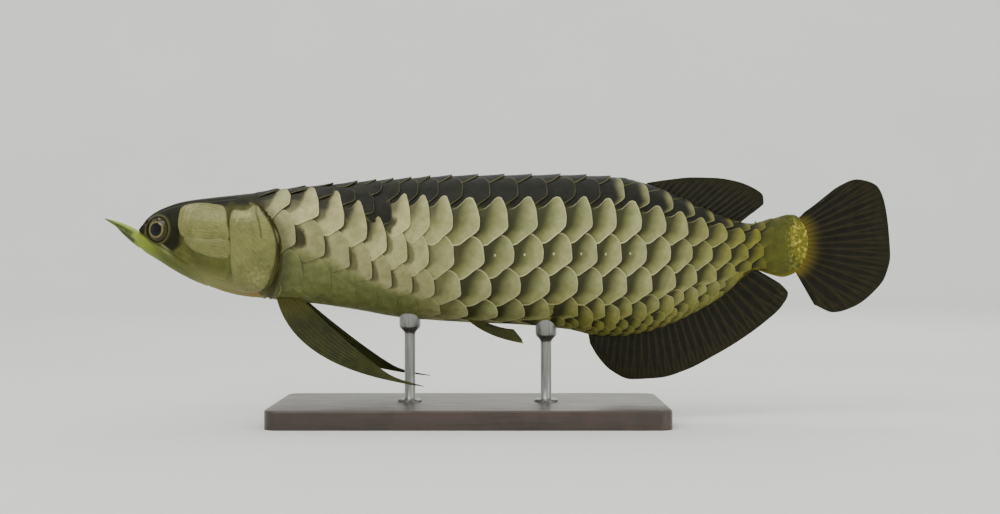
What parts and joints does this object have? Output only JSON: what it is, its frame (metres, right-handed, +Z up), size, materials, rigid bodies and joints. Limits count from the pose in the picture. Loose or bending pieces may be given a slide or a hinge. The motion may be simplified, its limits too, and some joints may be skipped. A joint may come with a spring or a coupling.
{
  "type": "asian arowana, still life-size model on a display stand",
  "caption": "Still life-size model of a long scaled freshwater fish, level as when swimming, held over a flat base by short rods.",
  "frame": {"origin": "middle of the underside of the stand's base, on the surface that it stands on", "axes": "+Z up to the fish's back, +X towards its tail, so the head points to -X; -Y is its left flank"},
  "size_m": [0.588, 0.13, 0.1848],
  "materials": {
    "head_skin": "dark olive roof and dull gold bony cheek, satin wet sheen",
    "jaw_skin": "olive gold skin, satin",
    "gill_plate": "pale champagne gold bony plate, pearly sheen",
    "scales": "champagne grey scales with pale gold rims, pearly sheen",
    "fin_dark": "dark brown rays and membrane, satin",
    "fin_olive": "dark olive rays with a paler membrane, satin",
    "barbel": "yellow green skin, satin",
    "eye": "clear gloss over a dark pupil",
    "stand_wood": "dark stained wood, satin",
    "stand_metal": "brushed"
  },
  "bodies": {
    "root": {"head": "head_skin", "lower_jaw": "jaw_skin", "gill_cover_left": "gill_plate", "gill_cover_right": "gill_plate", "torso_front": "scales", "torso_rear": "scales", "tail_stalk": "scales", "dorsal_fin": "fin_dark", "anal_fin": "fin_dark", "caudal_fin": "fin_dark", "pelvic_fin_left": "fin_olive", "pelvic_fin_right": "fin_olive", "pectoral_fin_left": "fin_olive", "pectoral_fin_right": "fin_olive", "barbel_left": "barbel", "barbel_right": "barbel", "eye_left": "eye", "eye_right": "eye", "stand_base": "stand_wood", "stand_rod_front": "stand_metal", "stand_rod_rear": "stand_metal"}
  },
  "joints": []
}
